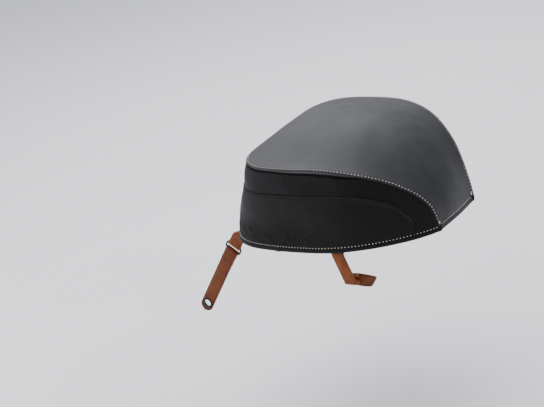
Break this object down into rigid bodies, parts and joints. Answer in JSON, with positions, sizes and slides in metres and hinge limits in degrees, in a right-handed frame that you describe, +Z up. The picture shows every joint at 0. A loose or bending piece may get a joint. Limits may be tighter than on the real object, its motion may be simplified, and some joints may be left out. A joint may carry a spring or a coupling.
{
  "type": "motorcycle tail bag",
  "caption": "Padded leather tail bag for a pillion seat: rounded tapering body, crowned lid opened by a zip under its edge, tan straps below.",
  "frame": {"origin": "middle of the anti-slip pad's underside, on the face that rests on the seat", "axes": "+X towards the tail of the motorcycle, +Y to its right-hand side, +Z up"},
  "size_m": [0.4859, 0.34, 0.3262],
  "materials": {
    "black_leather": "full-grain cow leather, black, matte satin, fine grain",
    "lid_leather": "full-grain cow leather, dark grey-black, matte satin, turned edge with cream saddle stitching",
    "foam": "closed-cell padding foam, hidden between leather and lining",
    "lining": "woven polyester lining, dark grey",
    "rubber_pad": "ribbed anti-slip rubber",
    "base_board": "stiff polyethylene board, hidden",
    "zip_tape": "woven zip tape, black",
    "zip_teeth": "moulded plastic teeth, black",
    "zip_metal": "black painted die-cast zinc",
    "tan_leather": "vegetable-tanned saddle leather, tan, creased line near the edges",
    "black_wire": "black powder-coated steel wire",
    "eyelet_metal": "black pressed metal eyelet"
  },
  "bodies": {
    "root": {"anti_slip_pad": "rubber_pad", "base_board": "base_board", "base_leather": "black_leather", "front_foam": "foam", "front_gusset": "black_leather", "front_lining": "lining", "front_panel": "black_leather", "left_foam": "foam", "left_gusset": "black_leather", "left_lining": "lining", "left_panel": "black_leather", "lining_floor": "lining", "rear_hem": "black_leather", "rear_strap_foot_left": "tan_leather", "rear_strap_foot_right": "tan_leather", "right_foam": "foam", "right_gusset": "black_leather", "right_lining": "lining", "right_panel": "black_leather", "strap_tab_left": "tan_leather", "strap_tab_right": "tan_leather", "tail_foam": "foam", "tail_leather": "lid_leather", "tail_lining": "lining", "zip_lower_tape": "zip_tape", "zip_lower_teeth": "zip_teeth", "zip_stops": "zip_metal"},
    "lid": {"lid_leather": "lid_leather", "lid_foam": "foam", "lid_lining": "lining", "lid_edge": "lid_leather", "zip_upper_tape": "zip_tape", "zip_upper_teeth": "zip_teeth"},
    "slider_left": {"slider_left": "zip_metal"},
    "pull_left": {"pull_wire_left": "zip_metal", "pull_tab_left": "tan_leather"},
    "ring_left": {"strap_ring_left": "black_wire"},
    "front_strap_left": {"front_strap_left": "tan_leather", "eyelet_left": "eyelet_metal"},
    "rear_strap_left": {"rear_strap_left": "tan_leather"},
    "slider_right": {"slider_right": "zip_metal"},
    "pull_right": {"pull_wire_right": "zip_metal", "pull_tab_right": "tan_leather"},
    "ring_right": {"strap_ring_right": "black_wire"},
    "front_strap_right": {"front_strap_right": "tan_leather", "eyelet_right": "eyelet_metal"},
    "rear_strap_right": {"rear_strap_right": "tan_leather"}
  },
  "joints": [
    {"name": "lid_hinge", "type": "hinge", "parent": "root", "child": "lid", "pos_m": [0.12193, 0, 0.13405], "axis": [0, 1, 0], "range_deg": [0, 100]},
    {"name": "slider_left_slide", "type": "slide", "parent": "root", "child": "slider_left", "axis": [0, -1, 0], "range_m": [0, 0.05]},
    {"name": "pull_left_swing", "type": "hinge", "parent": "slider_left", "child": "pull_left", "pos_m": [-0.13924, -0.005, 0.13592], "axis": [0, 1, 0], "range_deg": [0, 95]},
    {"name": "ring_left_swing", "type": "hinge", "parent": "root", "child": "ring_left", "pos_m": [-0.19302, -0.114, -0.02143], "axis": [-0.8049, 0, 0.5934], "range_deg": [-20, 45]},
    {"name": "front_strap_left_swing", "type": "hinge", "parent": "ring_left", "child": "front_strap_left", "pos_m": [-0.20014, -0.114, -0.03109], "axis": [-0.8049, 0, 0.5934], "range_deg": [-20, 60]},
    {"name": "rear_strap_left_swing", "type": "hinge", "parent": "root", "child": "rear_strap_left", "pos_m": [0.047, -0.157, -0.0005], "axis": [-1, 0, 0], "range_deg": [-25, 80]},
    {"name": "slider_right_slide", "type": "slide", "parent": "root", "child": "slider_right", "axis": [0, 1, 0], "range_m": [0, 0.05]},
    {"name": "pull_right_swing", "type": "hinge", "parent": "slider_right", "child": "pull_right", "pos_m": [-0.13924, 0.005, 0.13592], "axis": [0, 1, 0], "range_deg": [0, 95]},
    {"name": "ring_right_swing", "type": "hinge", "parent": "root", "child": "ring_right", "pos_m": [-0.19302, 0.114, -0.02143], "axis": [0.8049, 0, -0.5934], "range_deg": [-20, 45]},
    {"name": "front_strap_right_swing", "type": "hinge", "parent": "ring_right", "child": "front_strap_right", "pos_m": [-0.20014, 0.114, -0.03109], "axis": [0.8049, 0, -0.5934], "range_deg": [-20, 60]},
    {"name": "rear_strap_right_swing", "type": "hinge", "parent": "root", "child": "rear_strap_right", "pos_m": [0.047, 0.157, -0.0005], "axis": [1, 0, 0], "range_deg": [-25, 80]}
  ]
}
